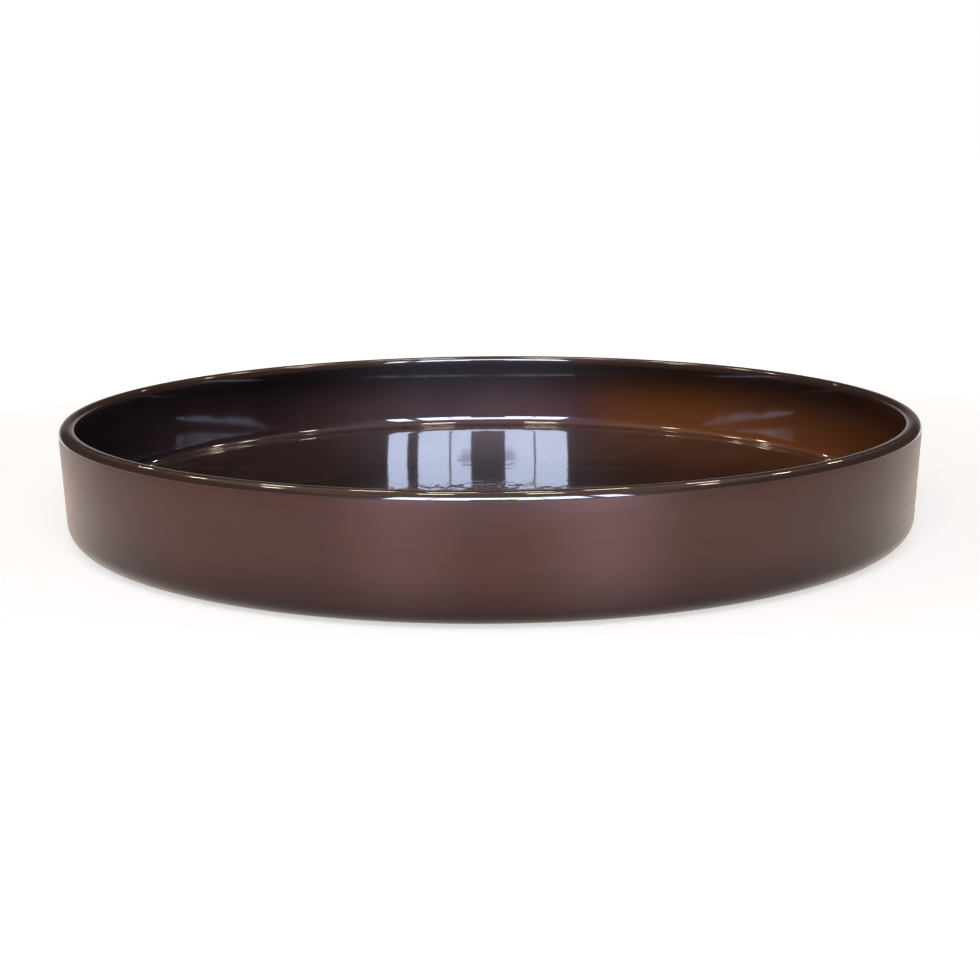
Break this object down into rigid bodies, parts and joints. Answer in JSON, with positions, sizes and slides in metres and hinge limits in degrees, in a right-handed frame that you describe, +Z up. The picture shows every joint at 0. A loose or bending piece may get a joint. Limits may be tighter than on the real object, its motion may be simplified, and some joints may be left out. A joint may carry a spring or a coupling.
{
  "type": "plant saucer",
  "caption": "Low round metal plant saucer with a flat floor, a steep hollow wall and a rounded lip, satin outside and gloss inside.",
  "frame": {"origin": "on the ground under the centre of the saucer, level with the underside of the foot pads", "axes": "+Z up, along the saucer's axis; +X and +Y level, with the foot pads on the diagonals between them"},
  "size_m": [0.3998, 0.3998, 0.0535],
  "materials": {
    "satin_bronze": "satin bronze-brown lacquer",
    "gloss_brown": "gloss dark brown enamel with an orange-peel surface",
    "wire_steel": "bare drawn wire",
    "filler_board": "matt closed-cell board",
    "pad_rubber": "matt"
  },
  "bodies": {
    "root": {"outer_pan": "satin_bronze", "inner_liner": "gloss_brown", "rim_wire": "wire_steel", "core_disc": "filler_board", "foot_pad_1": "pad_rubber", "foot_pad_2": "pad_rubber", "foot_pad_3": "pad_rubber", "foot_pad_4": "pad_rubber"}
  },
  "joints": []
}
